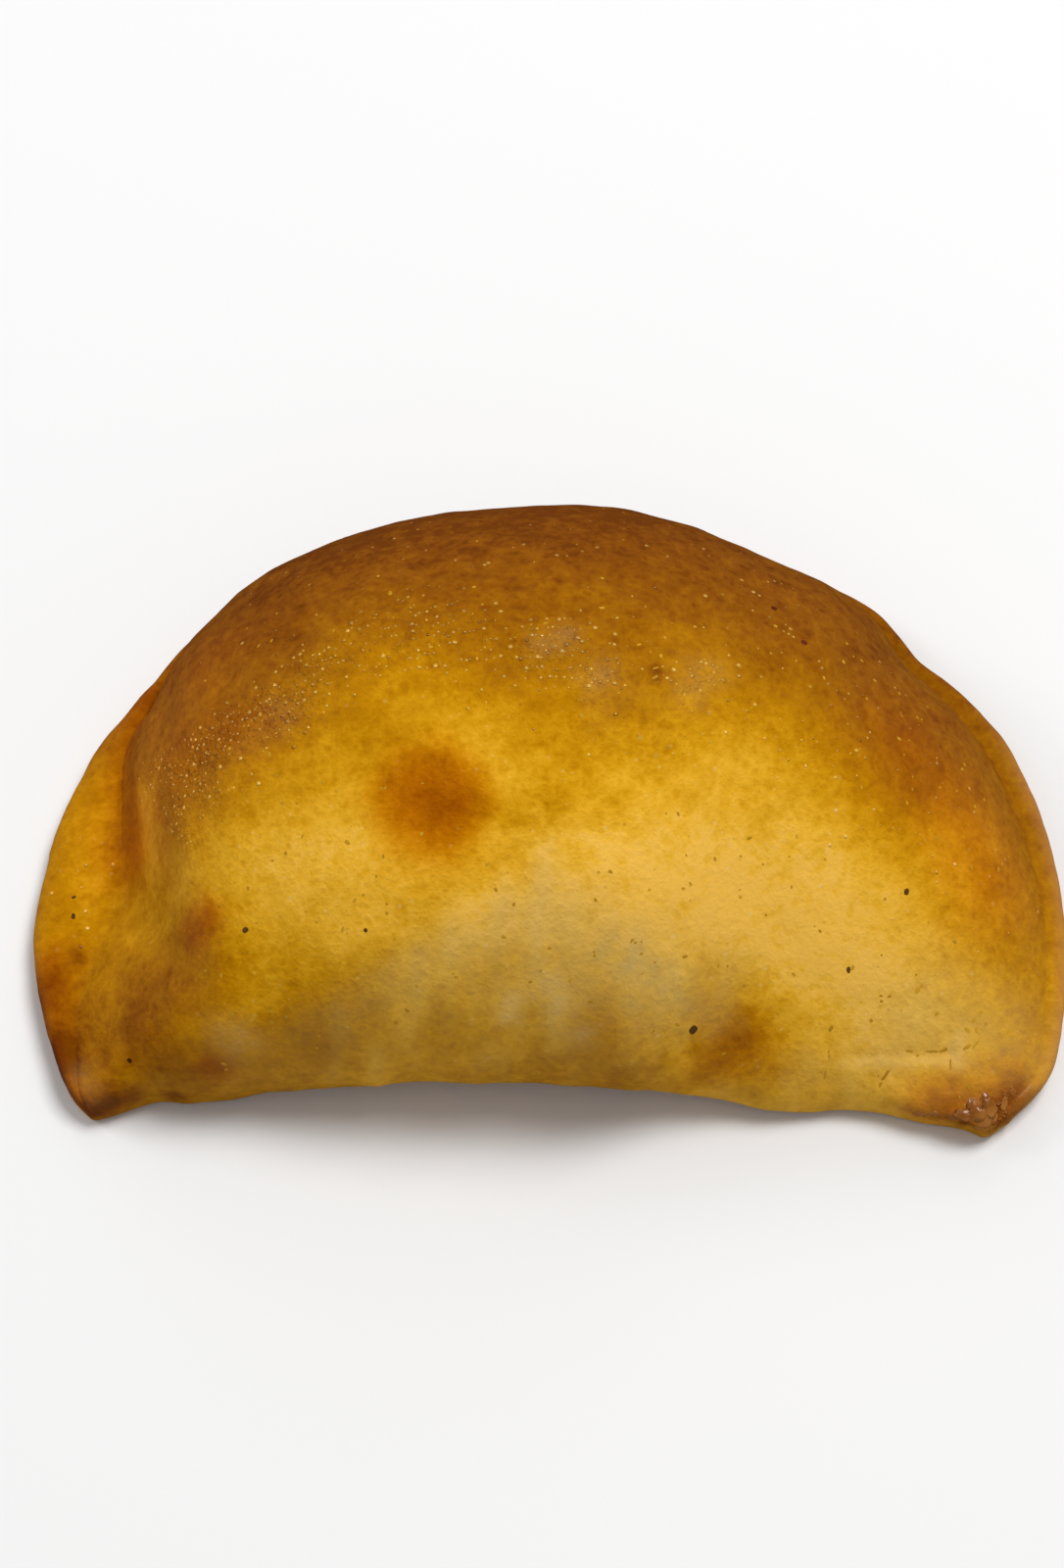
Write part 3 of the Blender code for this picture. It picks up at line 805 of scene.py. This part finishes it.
@dataclass
class Crust:
    """The whole turnover's skin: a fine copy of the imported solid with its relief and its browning."""

    levels: int = 2
    lump_length: float = 0.013
    lump_height: float = 0.00030
    ripple_length: float = 0.0048
    ripple_height: float = 0.00018
    grain_length: float = 0.0022
    grain_height: float = 0.00007
    seam_height: float = 0.0021
    seam_depth: float = 0.00055
    seam_width: float = 0.00075
    lip_reach: float = 0.0004
    wrinkle_length: float = 0.0021
    wrinkle_height: float = 0.00042
    swell: float = 0.00022
    streak_length: float = 0.0026
    streak_height: float = 0.00006
    ragged_edge: float = 0.0022
    underside: float = 0.72
    finish: CrustFinish = field(default_factory=CrustFinish)
    oven_marks: tuple[OvenMark, ...] = OVEN_MARKS
    creases: tuple[Crease, ...] = CREASES
    nudges: tuple[Nudge, ...] = NUDGES
    strokes: tuple[Stroke, ...] = STROKES

    def build(self) -> bpy.types.Object:
        """Make the crust.

        Returns:
            The finished piece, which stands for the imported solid.
        """
        mesh = self.refined(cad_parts[NODE])
        self.work_relief(mesh)
        self.paint(mesh)
        mesh.shade_smooth()
        mesh.materials.clear()
        mesh.materials.append(self.finish.material())
        piece = bpy.data.objects.new("crust", mesh)
        bpy.context.scene.collection.objects.link(piece)
        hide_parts(NODE)
        return piece

    def refined(self, node: bpy.types.Object) -> bpy.types.Mesh:
        """Copy the solid's mesh as smooth, closed quads.

        Args:
            node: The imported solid.

        Returns:
            The finer mesh.
        """
        shell = bmesh.new()
        shell.from_mesh(node.data)
        bmesh.ops.remove_doubles(shell, verts=shell.verts, dist=1.0e-6)
        bmesh.ops.join_triangles(
            shell,
            faces=shell.faces,
            angle_face_threshold=math.radians(30.0),
            angle_shape_threshold=math.radians(60.0),
        )
        coarse = bpy.data.meshes.new("crust_cage")
        shell.to_mesh(coarse)
        shell.free()
        cage = bpy.data.objects.new("crust_cage", coarse)
        bpy.context.scene.collection.objects.link(cage)
        finer = cage.modifiers.new("finer", "SUBSURF")
        finer.levels = self.levels
        finer.render_levels = self.levels
        depsgraph = bpy.context.evaluated_depsgraph_get()
        mesh = bpy.data.meshes.new_from_object(cage.evaluated_get(depsgraph))
        mesh.name = "crust"
        bpy.data.objects.remove(cage)
        bpy.data.meshes.remove(coarse)
        return mesh

    @staticmethod
    def points_of(mesh: bpy.types.Mesh) -> tuple[np.ndarray, np.ndarray]:
        """Return the mesh's points and their outward normals, one row each."""
        points = np.array([vertex.co for vertex in mesh.vertices], float)
        normals = np.array([vertex.normal for vertex in mesh.vertices], float)
        return points, normals

    def outline(self, points: np.ndarray) -> RimOutline:
        """Return the outline of the pressed rim.

        Args:
            points: The crust's points.

        Returns:
            The outline about the middle of the dough disc.
        """
        low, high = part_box(NODE)
        half_length = (high.x - low.x) / 2.0
        centre_y = high.y - 0.918 * half_length
        return RimOutline(points, centre_y)

    def work_relief(self, mesh: bpy.types.Mesh) -> None:
        """Move the crust's points to give the dough its lumps, seam, creases and wrinkles.

        Args:
            mesh: The crust's mesh, changed in place.
        """
        points, normals = self.points_of(mesh)
        outline = self.outline(points)
        bearings, _ = outline.polar(points)
        gap = outline.gap(points)
        above = ease(points[:, 2] / 0.0015)
        lift = self.lump_height * noise_field(points, self.lump_length, 3.1)
        lift += self.ripple_height * noise_field(points, self.ripple_length, 8.4)
        lift += self.grain_height * noise_field(points, self.grain_length, 1.9)
        on_rim = ease((bearings + 22.0) / 6.0) * ease((202.0 - bearings) / 6.0) * hump(gap, 0.0012)
        layers = points[:, 2] - self.seam_height
        layers += 0.0003 * noise_field(points, 0.006, 5.5)
        lift -= self.seam_depth * on_rim * hump(layers, self.seam_width)
        lip = on_rim * ease(-layers / 0.0006) * hump((bearings - 3.0) / 14.0, 1.0)
        lift += self.lip_reach * lip
        for crease in self.creases:
            lift += crease.press(points)
        stretched = points * np.array([1.0, 0.30, 0.22])
        front = ease((-points[:, 1] - 0.022) / 0.010)
        lift += self.streak_height * front * noise_field(stretched, self.streak_length, 2.7)
        tip = hump(distance_to_path(points, (mm(53.0, -40.0, 4.0),)), 0.0058)
        wrinkles = noise_field(points, self.wrinkle_length, 6.2)
        lift += self.wrinkle_height * tip * (wrinkles - 0.5)
        moved = points + normals * ((lift + self.swell) * above)[:, None]
        for nudge in self.nudges:
            moved += nudge.shift(points)
        moved[:, 2] = np.maximum(moved[:, 2], 0.0)
        mesh.vertices.foreach_set("co", moved.astype(np.float32).ravel())
        mesh.update()

    def paint(self, mesh: bpy.types.Mesh) -> None:
        """Store how baked, blushed, floured, caramelised and blistered each point is, with painted shade over the front
        and painted highlight over the crown's glints.

        Args:
            mesh: The crust's mesh, changed in place.
        """
        points, normals = self.points_of(mesh)
        outline = self.outline(points)
        bearings, _ = outline.polar(points)
        gap = outline.gap(points)
        ragged = noise_field(points, 0.0055, 4.4) + 0.5 * noise_field(points, 0.0022, 7.7)
        values = {kind: np.zeros(len(points)) for kind in Field}
        values[Field.BAKE] += self.browning(bearings, gap, normals, ragged)
        # Painted shade: the front, turned away from the key light, is made greyer, in streaks.
        front = ease((-18.0 - bearings) / 20.0) + ease((bearings - 205.0) / 14.0)
        values[Field.FRONT_SHADE] += 0.32 * front * hump(gap - 0.011, 0.008)
        stretched = points * np.array([1.0, 0.30, 0.22])
        streaks = noise_field(stretched, self.streak_length, 2.7)
        values[Field.FRONT_SHADE] += 0.20 * front * np.maximum(streaks, 0.0)
        values[Field.BAKE] -= 0.07 * front * streaks
        right_rim = ease((bearings + 24.0) / 12.0) * ease((34.0 - bearings) / 16.0)
        values[Field.BLUSH] += 0.55 * right_rim * hump(gap, 0.0014)
        for stroke in self.strokes:
            values[stroke.field] += stroke.weigh(points, ragged)
        for kind, numbers in values.items():
            layer = mesh.attributes.new(kind.value, "FLOAT", "POINT")
            layer.data.foreach_set("value", np.clip(numbers, 0.0, 1.2).astype(np.float32))

    def browning(
        self, bearings: np.ndarray, gap: np.ndarray, normals: np.ndarray, ragged: np.ndarray
    ) -> np.ndarray:
        """Work out how far the oven browned each point, before single marks.

        Args:
            bearings: Bearing of each point from the middle of the dough disc, in degrees.
            gap: Distance of each point inside the edge of the rim, seen from above.
            normals: Outward directions, one row each.
            ragged: A noise at each point that makes the edges uneven.

        Returns:
            A number from 0, pale, to 1, dark brown.
        """
        turns = [mark.bearing for mark in self.oven_marks]
        rim, held_to, faded_by, crown = (
            np.interp(bearings, turns, [getattr(mark, name) for mark in self.oven_marks])
            for name in ("rim", "held_to", "faded_by", "crown")
        )
        share = (gap + self.ragged_edge * ragged - held_to) / (faded_by - held_to)
        brown = rim + (crown - rim) * ease(share)
        underside = ease((-normals[:, 2] - 0.3) / 0.5)
        return brown * (1.0 - underside) + self.underside * underside


@dataclass
class Blisters:
    """The tiny bubbles baked into the crust's skin, joined in one piece that shares its colours.

    Each bubble is paler and whiter than the crust around it: partly a bubble's own thin skin, partly a painted
    highlight for its glint.
    """

    crowding: float = 2.0e6
    smallest: float = 0.00014
    largest: float = 0.00040
    height: float = 0.26
    sunk: float = 0.30
    # Partly painted highlight: how much paler and whiter each bubble is made than the crust beneath.
    skin_and_glint_paling: float = 0.45
    skin_and_glint_whitening: float = 0.24
    seed: int = 21
    finish: CrustFinish = CrustFinish(
        name="blister_skin",
        roughness=0.30,
        coat=0.60,
        coat_roughness=0.16,
        shine=1.0,
        shine_tint=(1.0, 0.86, 0.50, 1.0),
    )

    def build(self, crust: bpy.types.Object) -> bpy.types.Object:
        """Make the piece.

        Args:
            crust: The finished crust that the bubbles rise from.

        Returns:
            The finished piece.
        """
        chance = random.Random(self.seed)
        skin = crust.data
        field_values = {kind: self.read(skin, kind) for kind in Field}
        chosen = self.choose(skin, field_values[Field.BLISTER], chance)
        shell = bmesh.new()
        places = []
        for face in chosen:
            radius = self.smallest + (self.largest - self.smallest) * chance.random() ** 2
            self.add(shell, *self.spot_on(skin, face, chance), radius)
            places.append(skin.polygons[face].vertices[0])
        mesh = bpy.data.meshes.new("blisters")
        shell.to_mesh(mesh)
        shell.free()
        mesh.shade_smooth()
        each = len(mesh.vertices) // len(chosen)
        places = np.repeat(places, each)
        # Painted highlight, partly the bubbles' own paler skin: each bubble gets a random share of the paling.
        pale = np.repeat([chance.random() for _ in chosen], each)
        shifts = {Field.BAKE: -self.skin_and_glint_paling, Field.FLOUR_AND_SHEEN: self.skin_and_glint_whitening}
        for kind, numbers in field_values.items():
            layer = mesh.attributes.new(kind.value, "FLOAT", "POINT")
            shifted = numbers[places] + shifts.get(kind, 0.0) * pale
            layer.data.foreach_set("value", shifted.astype(np.float32))
        mesh.materials.append(self.finish.material())
        piece = bpy.data.objects.new("blisters", mesh)
        bpy.context.scene.collection.objects.link(piece)
        return piece

    @staticmethod
    def read(mesh: bpy.types.Mesh, kind: Field) -> np.ndarray:
        """Return the numbers that a mesh holds for one field."""
        numbers = np.empty(len(mesh.vertices), np.float32)
        mesh.attributes[kind.value].data.foreach_get("value", numbers)
        return numbers

    def choose(
        self, skin: bpy.types.Mesh, weights: np.ndarray, chance: random.Random
    ) -> list[int]:
        """Pick the faces that bubbles rise from, more of them where the crust is blistered.

        Args:
            skin: The crust's mesh.
            weights: How blistered each of its points is.
            chance: Where the choice is drawn from.

        Returns:
            The indices of the faces, each of them once.
        """
        shares = [
            face.area * float(weights[face.vertices[0]]) ** 1.5 for face in skin.polygons
        ]
        count = round(self.crowding * sum(shares))
        drawn = chance.choices(range(len(shares)), shares, k=count)
        return sorted(set(drawn))

    @staticmethod
    def spot_on(
        skin: bpy.types.Mesh, face: int, chance: random.Random
    ) -> tuple[Vector, Vector]:
        """Draw a place on a face.

        Args:
            skin: The crust's mesh.
            face: The index of the face.
            chance: Where the place is drawn from.

        Returns:
            The place and the crust's outward direction there.
        """
        corners = [skin.vertices[index] for index in skin.polygons[face].vertices]
        pulls = [chance.random() for _ in corners]
        whole = sum(pulls)
        spot = sum((corner.co * pull / whole for corner, pull in zip(corners, pulls)), Vector())
        normal = sum((corner.normal * pull for corner, pull in zip(corners, pulls)), Vector())
        return spot, normal.normalized()

    def add(self, shell: bmesh.types.BMesh, spot: Vector, normal: Vector, radius: float) -> None:
        """Add one bubble to the piece.

        Args:
            shell: The piece so far, changed in place.
            spot: Where the bubble rises from.
            normal: The crust's outward direction there.
            radius: The bubble's radius in metres.
        """
        rise = self.height * radius
        lie = normal.to_track_quat("Z", "Y").to_matrix().to_4x4()
        size = Matrix.Diagonal((radius, radius, rise, 1.0))
        sink = Matrix.Translation(spot - normal * self.sunk * rise)
        bmesh.ops.create_icosphere(shell, subdivisions=1, radius=1.0, matrix=sink @ lie @ size)


class FleckKind(Enum):
    """The kinds of fleck on the crust."""

    CHARRED = "charred_flecks"
    SCORCHED = "scorched_flecks"
    BRAN = "bran_flecks"
    SCORES = "score_marks"
    CARAMEL = "caramel_beads"


@dataclass(frozen=True)
class Fleck:
    """One small flake: its place, its radius, how much longer it is than wide, and its turn."""

    place: Point
    radius: float
    stretch: float = 1.0
    turn: float = 0.0


@dataclass
class Flecks:
    """All the flecks of one kind, pressed into the crust and joined in one piece."""

    kind: FleckKind
    finish: FleckFinish
    flecks: Sequence[Fleck]
    fineness: int = 1
    thickness: float = 0.08
    sunk: float = 0.45
    roughness: float = 0.22
    smooth: bool = False
    seed: int = 5

    def build(self, crust: bpy.types.Object) -> bpy.types.Object:
        """Make the piece.

        Args:
            crust: The finished crust that the flecks sit in.

        Returns:
            The finished piece.
        """
        skin = bmesh.new()
        skin.from_mesh(crust.data)
        tree = BVHTree.FromBMesh(skin)
        skin.free()
        chance = random.Random(self.seed)
        shell = bmesh.new()
        for fleck in self.flecks:
            self.add(shell, tree, fleck, chance)
        mesh = bpy.data.meshes.new(self.kind.value)
        shell.to_mesh(mesh)
        shell.free()
        if self.smooth:
            mesh.shade_smooth()
        mesh.materials.append(self.finish.material())
        piece = bpy.data.objects.new(self.kind.value, mesh)
        bpy.context.scene.collection.objects.link(piece)
        return piece

    def add(
        self, shell: bmesh.types.BMesh, tree: BVHTree, fleck: Fleck, chance: random.Random
    ) -> None:
        """Add one fleck to the piece.

        Args:
            shell: The piece so far, changed in place.
            tree: The crust's surface.
            fleck: The fleck to add.
            chance: Where the uneven outline is drawn from.
        """
        spot, normal, _, _ = tree.find_nearest(Vector(fleck.place))
        thick = self.thickness * fleck.radius
        lie = normal.to_track_quat("Z", "Y").to_matrix().to_4x4()
        size = Matrix.Diagonal((fleck.radius * fleck.stretch, fleck.radius, thick, 1.0))
        lift = Matrix.Translation(spot + normal * thick * (0.5 - self.sunk) * 2.0)
        place = lift @ lie @ Matrix.Rotation(fleck.turn, 4, "Z") @ size
        made = bmesh.ops.create_icosphere(
            shell, subdivisions=self.fineness, radius=1.0, matrix=Matrix.Identity(4)
        )
        for vertex in made["verts"]:
            vertex.co *= 1.0 + chance.uniform(-self.roughness, self.roughness)
        bmesh.ops.transform(shell, matrix=place, verts=made["verts"])


CHARRED = (
    Fleck(mm(17.4, -34.1, 16.6), 0.00060),
    Fleck(mm(43.6, -16.6, 18.8), 0.00036, 1.2, 0.4),
    Fleck(mm(-36.7, -25.1, 24.5), 0.00034, 1.3, 1.2),
    Fleck(mm(-21.9, -27.0, 29.6), 0.00026),
    Fleck(mm(36.5, -25.9, 16.1), 0.00026, 1.7, 1.3),
    Fleck(mm(-51.5, -36.0, 8.6), 0.00028, 1.3, 0.2),
    Fleck(mm(-60.3, -15.4, 4.7), 0.00028, 1.5, 0.2),
    Fleck(mm(-60.4, -12.8, 4.7), 0.00020, 1.6, 0.2),
)
SCORCHED = (
    Fleck(mm(27.4, 18.0, 27.1), 0.00044),
    Fleck(mm(31.0, 13.0, 27.4), 0.00044),
)

BRAN = (
    Fleck(mm(12.3, 4.9, 36.1), 0.00018, 3.0, 1.6),
    Fleck(mm(12.2, 3.4, 36.3), 0.00024, 2.2, 1.5),
    Fleck(mm(45.2, -27.1, 12.7), 0.00036, 1.3, 0.5),
    Fleck(mm(45.0, -25.5, 13.8), 0.00020),
    Fleck(mm(40.7, -28.6, 12.8), 0.00024),
    Fleck(mm(47.7, -29.5, 10.8), 0.00026, 1.6, 0.2),
    Fleck(mm(39.5, -30.6, 11.4), 0.00026),
    Fleck(mm(51.6, -31.0, 9.3), 0.00028, 1.9, 1.9),
    Fleck(mm(52.4, -29.9, 9.6), 0.00026, 1.6, 0.5),
    Fleck(mm(52.8, -30.9, 9.2), 0.00026, 1.7, 1.2),
    Fleck(mm(12.4, -6.7, 36.0), 0.00032, 1.3, 0.3),
    Fleck(mm(19.0, -3.9, 34.0), 0.00026),
    Fleck(mm(-38.3, -33.6, 18.6), 0.00030),
    Fleck(mm(-36.0, -34.1, 18.1), 0.00030, 1.3, 0.6),
    Fleck(mm(-35.7, -33.7, 18.6), 0.00026, 1.4, 0.2),
    Fleck(mm(-33.4, -33.4, 19.2), 0.00028),
    Fleck(mm(-18.4, -35.2, 20.8), 0.00028),
    Fleck(mm(-25.7, -11.3, 34.9), 0.00028),
    Fleck(mm(-32.4, -11.7, 32.1), 0.00030),
    Fleck(mm(-31.8, -17.6, 30.6), 0.00028),
    Fleck(mm(-24.3, -17.5, 33.8), 0.00030, 1.5, 0.1),
)

SCORES = (
    Fleck(mm(41.6, -36.1, 6.7), 0.00024, 3.4, 1.0),
    Fleck(mm(41.0, -37.0, 5.9), 0.00018, 2.6, 1.2),
    Fleck(mm(44.4, -33.5, 8.6), 0.00022, 2.6, -0.3),
    Fleck(mm(47.2, -33.6, 8.5), 0.00018, 4.6, 0.1),
    Fleck(mm(48.9, -33.4, 8.5), 0.00022, 3.4, -0.1),
    Fleck(mm(51.6, -32.9, 8.4), 0.00020, 3.0, 0.1),
    Fleck(mm(52.7, -32.5, 8.4), 0.00018, 3.4, 0.4),
    Fleck(mm(49.6, -34.9, 7.8), 0.00012, 6.0, 1.57),
    Fleck(mm(34.5, -34.4, 9.0), 0.00016, 5.0, 1.5),
    Fleck(mm(34.1, -36.2, 7.0), 0.00018, 4.0, 1.4),
)

CARAMEL = (
    Fleck(mm(52.6, -40.6, 5.4), 0.00110, 1.3, 0.3),
    Fleck(mm(54.4, -39.6, 5.3), 0.00100, 1.4, 1.1),
    Fleck(mm(56.4, -38.9, 4.9), 0.00070, 1.5, 0.8),
    Fleck(mm(53.8, -38.5, 5.8), 0.00060, 1.6, 2.2),
    Fleck(mm(51.2, -40.6, 5.3), 0.00080, 1.5, 0.1),
    Fleck(mm(53.8, -41.4, 4.5), 0.00090, 1.4, 0.5),
    Fleck(mm(55.2, -40.6, 4.6), 0.00070, 1.3, 2.6),
    Fleck(mm(57.4, -37.4, 4.9), 0.00050, 1.5, 1.9),
    Fleck(mm(52.0, -39.2, 5.7), 0.00050, 1.6, 0.9),
    Fleck(mm(50.0, -41.0, 4.9), 0.00060, 1.6, 0.2),
    Fleck(mm(46.0, -40.2, 3.9), 0.00060, 1.8, 0.2),
    Fleck(mm(47.6, -40.3, 4.4), 0.00050, 1.6, 0.5),
)


def scattered_bran(count: int, seed: int) -> list[Fleck]:
    """Scatter bran flecks over the paler part of the crust.

    Args:
        count: How many flecks there are.
        seed: Where the places are drawn from.

    Returns:
        The flecks, at rough places just above the crust.
    """
    chance = random.Random(seed)
    flecks = []
    low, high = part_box(NODE)
    while len(flecks) < count:
        across = chance.uniform(0.62 * low.x, 0.86 * high.x)
        back = chance.uniform(low.y, 0.40 * high.y)
        height = chance.uniform(0.10, 1.0) * high.z
        radius = chance.uniform(0.00012, 0.00026)
        stretch = chance.uniform(1.0, 2.0)
        turn = chance.uniform(0.0, math.pi)
        flecks.append(Fleck((across, back, height), radius, stretch, turn))
    return flecks


@dataclass(frozen=True)
class Lamp:
    """A square soft light that faces the turnover.

    It hangs a distance away in the direction that towards gives, and size is the length of its side.
    Brightness is how bright it makes a white surface that faces it, and shine says whether the crust
    mirrors it.
    """

    name: str
    towards: Point
    distance: float
    size: float
    brightness: float
    shine: bool

    def hang(self) -> None:
        """Make the light."""
        data = bpy.data.lights.new(self.name, "AREA")
        data.shape = "SQUARE"
        data.size = self.size
        data.energy = self.brightness * math.pi**2 * self.distance**2
        direction = Vector(self.towards).normalized()
        light = bpy.data.objects.new(self.name, data)
        light.location = direction * self.distance
        light.rotation_euler = direction.to_track_quat("Z", "Y").to_euler()
        light.visible_glossy = self.shine
        bpy.context.scene.collection.objects.link(light)


@dataclass
class Studio:
    """A plain pale floor, soft white light and the camera."""

    elevation: float = 65.1
    azimuth: float = 0.73
    distance: float = 0.4651
    lens: float = 85.0
    sensor: float = 36.0
    floor_size: float = 6.0
    floor_colour: Colour = (0.88, 0.88, 0.88, 1.0)
    ambient: float = 0.335
    lamps: tuple[Lamp, ...] = (
        Lamp("key", (0.33, 0.30, 0.90), 1.80, 0.74, 0.71, True),
        Lamp("left_fill", (-0.80, 0.32, 0.50), 1.80, 0.60, 0.22, True),
        Lamp("back_strip", (0.10, 0.78, 0.62), 1.80, 0.80, 0.07, False),
    )

    def build(self) -> None:
        """Make the floor, the lights, the sky and the camera."""
        scene = bpy.context.scene
        scene.view_settings.view_transform = "Standard"
        scene.view_settings.look = "None"
        self.make_floor()
        self.make_sky(scene)
        for lamp in self.lamps:
            lamp.hang()
        scene.camera = self.make_camera()

    def make_floor(self) -> None:
        """Make the floor that the turnover lies on."""
        plane = bmesh.new()
        bmesh.ops.create_grid(
            plane, x_segments=2, y_segments=2, size=self.floor_size / 2.0
        )
        mesh = bpy.data.meshes.new("floor")
        plane.to_mesh(mesh)
        plane.free()
        sheet = NodeSheet("pale_floor")
        sheet.dress({"Base Color": self.floor_colour, "Roughness": 0.9})
        mesh.materials.append(sheet.material)
        floor = bpy.data.objects.new("floor", mesh)
        bpy.context.scene.collection.objects.link(floor)
        floor.visible_glossy = False

    def make_sky(self, scene: bpy.types.Scene) -> None:
        """Fill the room with even white light that leaves no shine.

        Args:
            scene: The scene that is lit.
        """
        world = bpy.data.worlds.new("room")
        world.use_nodes = True
        background = world.node_tree.nodes["Background"]
        background.inputs["Color"].default_value = (1.0, 1.0, 1.0, 1.0)
        background.inputs["Strength"].default_value = self.ambient
        world.cycles_visibility.glossy = False
        scene.world = world

    def make_camera(self) -> bpy.types.Object:
        """Stand the camera in front of the turnover and above it.

        Returns:
            The camera.
        """
        low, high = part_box(NODE)
        aim = Vector((-0.0025, -0.00065, 0.383 * high.z))
        rise = math.radians(self.elevation)
        turn = math.radians(self.azimuth)
        back = Vector(
            (math.sin(turn) * math.cos(rise), -math.cos(turn) * math.cos(rise), math.sin(rise))
        )
        data = bpy.data.cameras.new("camera")
        data.lens = self.lens
        data.sensor_width = self.sensor
        data.clip_start = 0.01
        camera = bpy.data.objects.new("camera", data)
        camera.location = aim + back * self.distance
        camera.rotation_euler = back.to_track_quat("Z", "Y").to_euler()
        bpy.context.scene.collection.objects.link(camera)
        return camera


def report(piece: bpy.types.Object) -> None:
    """Let a piece ride with the turnover, and log its size."""
    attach(piece, BODY)
    triangles = sum(len(face.vertices) - 2 for face in piece.data.polygons)
    LOG.info("%s: %d triangles", piece.name, triangles)


def main() -> None:
    """Build the studio, the crust and what lies in its surface."""
    logging.basicConfig(level=logging.INFO, format="%(message)s")
    Studio().build()
    crust = Crust().build()
    report(crust)
    report(Blisters().build(crust))
    charred = FleckFinish("charred", (0.130, 0.056, 0.010, 1.0), (0.034, 0.014, 0.004, 1.0), 0.6)
    report(Flecks(FleckKind.CHARRED, charred, CHARRED, fineness=2, roughness=0.12).build(crust))
    scorched = FleckFinish("scorched", (0.130, 0.020, 0.003, 1.0), (0.070, 0.009, 0.002, 1.0), 0.6)
    report(Flecks(FleckKind.SCORCHED, scorched, SCORCHED, fineness=2, roughness=0.12).build(crust))
    bran = FleckFinish("bran", (0.580, 0.310, 0.020, 1.0), (0.440, 0.220, 0.012, 1.0), 0.6)
    bran_flecks = list(BRAN) + scattered_bran(230, 12)
    report(Flecks(FleckKind.BRAN, bran, bran_flecks).build(crust))
    score = FleckFinish("score", (0.560, 0.290, 0.022, 1.0), (0.440, 0.215, 0.014, 1.0), 0.6)
    report(Flecks(FleckKind.SCORES, score, SCORES, fineness=2).build(crust))
    syrup = FleckFinish("syrup", (0.520, 0.200, 0.030, 1.0), (0.260, 0.078, 0.006, 1.0), 0.34, 0.5, 0.4)
    beads = Flecks(
        FleckKind.CARAMEL, syrup, CARAMEL, fineness=3, thickness=0.34, sunk=0.75, smooth=True
    )
    report(beads.build(crust))


if __name__ == "__main__":
    main()
